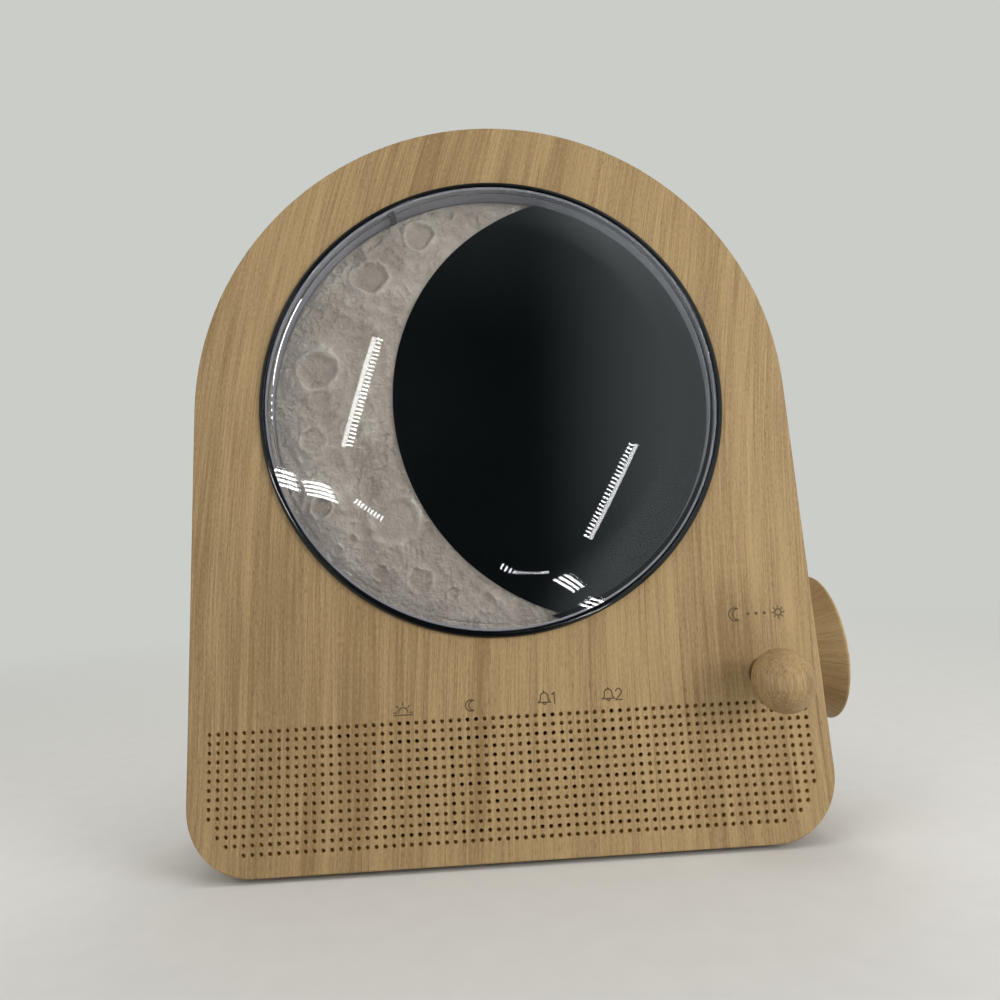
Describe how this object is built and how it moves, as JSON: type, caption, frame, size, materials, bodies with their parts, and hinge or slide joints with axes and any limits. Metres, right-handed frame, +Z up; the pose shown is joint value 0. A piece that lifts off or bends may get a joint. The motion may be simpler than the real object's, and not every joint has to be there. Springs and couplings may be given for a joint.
{
  "type": "sunrise alarm clock",
  "caption": "Arched wood-covered alarm clock: domed crescent moon lamp, perforated display field, ball to press on the front, flared wheel on the side, speaker and keys behind.",
  "frame": {"origin": "middle of the base pad's underside", "axes": "+Z up, along the arch's height; +X to the right seen from the front, towards the wheel; -Y out of the front face, +Y out of the rear cover"},
  "size_m": [0.1596, 0.0638, 0.1839],
  "materials": {
    "front_panel": "satin",
    "body_shell": "satin",
    "rear_cover": "matt",
    "cover_screws": "satin",
    "base_pad": "matt",
    "bezel_ring": "gloss",
    "dome_lens": "clear, smoked",
    "lens_tray": "satin",
    "moon_diffuser": "matt, translucent",
    "moon_mask": "gloss",
    "lamp_housing": "matt",
    "lamp_board": "matt",
    "lamp_leds": "gloss",
    "lamp_screws": "satin",
    "display_film": "gloss",
    "light_baffle": "matt",
    "display_board": "satin",
    "display_leds": "gloss",
    "display_screws": "satin",
    "main_board": "satin",
    "board_parts": "satin",
    "board_screws": "satin",
    "ribbon_cable": "satin",
    "cell_holder": "matt",
    "backup_cell": "satin",
    "usb_inlet": "satin",
    "speaker_gasket": "matt",
    "speaker_basket": "satin",
    "speaker_cone": "matt",
    "speaker_magnet": "satin",
    "snooze_ball": "satin",
    "snooze_stem": "satin",
    "stem_bush": "matt",
    "snooze_spring": "satin",
    "snooze_board": "satin",
    "snooze_switch": "satin",
    "side_wheel": "satin",
    "wheel_shaft": "satin",
    "encoder": "satin",
    "encoder_nut": "satin",
    "encoder_board": "satin",
    "time_button": "satin",
    "alarm_one_button": "satin",
    "alarm_two_button": "satin",
    "sound_button": "satin",
    "button_switches": "satin",
    "lamp_lead": "satin",
    "speaker_lead": "satin"
  },
  "bodies": {
    "case": {"front_panel": "front_panel", "body_shell": "body_shell", "rear_cover": "rear_cover", "cover_screws": "cover_screws", "base_pad": "base_pad", "bezel_ring": "bezel_ring", "dome_lens": "dome_lens", "lens_tray": "lens_tray", "moon_diffuser": "moon_diffuser", "moon_mask": "moon_mask", "lamp_housing": "lamp_housing", "lamp_board": "lamp_board", "lamp_leds": "lamp_leds", "lamp_screws": "lamp_screws", "display_film": "display_film", "light_baffle": "light_baffle", "display_board": "display_board", "display_leds": "display_leds", "display_screws": "display_screws", "main_board": "main_board", "board_parts": "board_parts", "board_screws": "board_screws", "ribbon_cable": "ribbon_cable", "cell_holder": "cell_holder", "backup_cell": "backup_cell", "usb_inlet": "usb_inlet", "speaker_gasket": "speaker_gasket", "speaker_basket": "speaker_basket", "speaker_cone": "speaker_cone", "speaker_magnet": "speaker_magnet", "stem_bush": "stem_bush", "snooze_spring": "snooze_spring", "snooze_board": "snooze_board", "snooze_switch": "snooze_switch", "encoder": "encoder", "encoder_nut": "encoder_nut", "encoder_board": "encoder_board", "button_switches": "button_switches", "lamp_lead": "lamp_lead", "speaker_lead": "speaker_lead"},
    "snooze": {"snooze_ball": "snooze_ball", "snooze_stem": "snooze_stem"},
    "wheel": {"side_wheel": "side_wheel", "wheel_shaft": "wheel_shaft"},
    "time_key": {"time_button": "time_button"},
    "alarm_one_key": {"alarm_one_button": "alarm_one_button"},
    "alarm_two_key": {"alarm_two_button": "alarm_two_button"},
    "sound_key": {"sound_button": "sound_button"}
  },
  "joints": [
    {"name": "snooze_press", "type": "slide", "parent": "case", "child": "snooze", "axis": [0, 1, 0], "range_m": [0, 0.0008], "stiffness_N_per_m": 500, "springref_m": -0.0006, "deforming": ["snooze_spring"]},
    {"name": "wheel_turn", "type": "hinge", "parent": "case", "child": "wheel", "pos_m": [0.0756, 0, 0.0414], "axis": [1, 0, 0], "continuous": true},
    {"name": "time_press", "type": "slide", "parent": "case", "child": "time_key", "axis": [0, -1, 0], "range_m": [0, 0.0006], "stiffness_N_per_m": 600, "springref_m": -0.0005},
    {"name": "alarm_one_press", "type": "slide", "parent": "case", "child": "alarm_one_key", "axis": [0, -1, 0], "range_m": [0, 0.0006], "stiffness_N_per_m": 600, "springref_m": -0.0005},
    {"name": "alarm_two_press", "type": "slide", "parent": "case", "child": "alarm_two_key", "axis": [0, -1, 0], "range_m": [0, 0.0006], "stiffness_N_per_m": 600, "springref_m": -0.0005},
    {"name": "sound_press", "type": "slide", "parent": "case", "child": "sound_key", "axis": [0, -1, 0], "range_m": [0, 0.0006], "stiffness_N_per_m": 600, "springref_m": -0.0005}
  ]
}
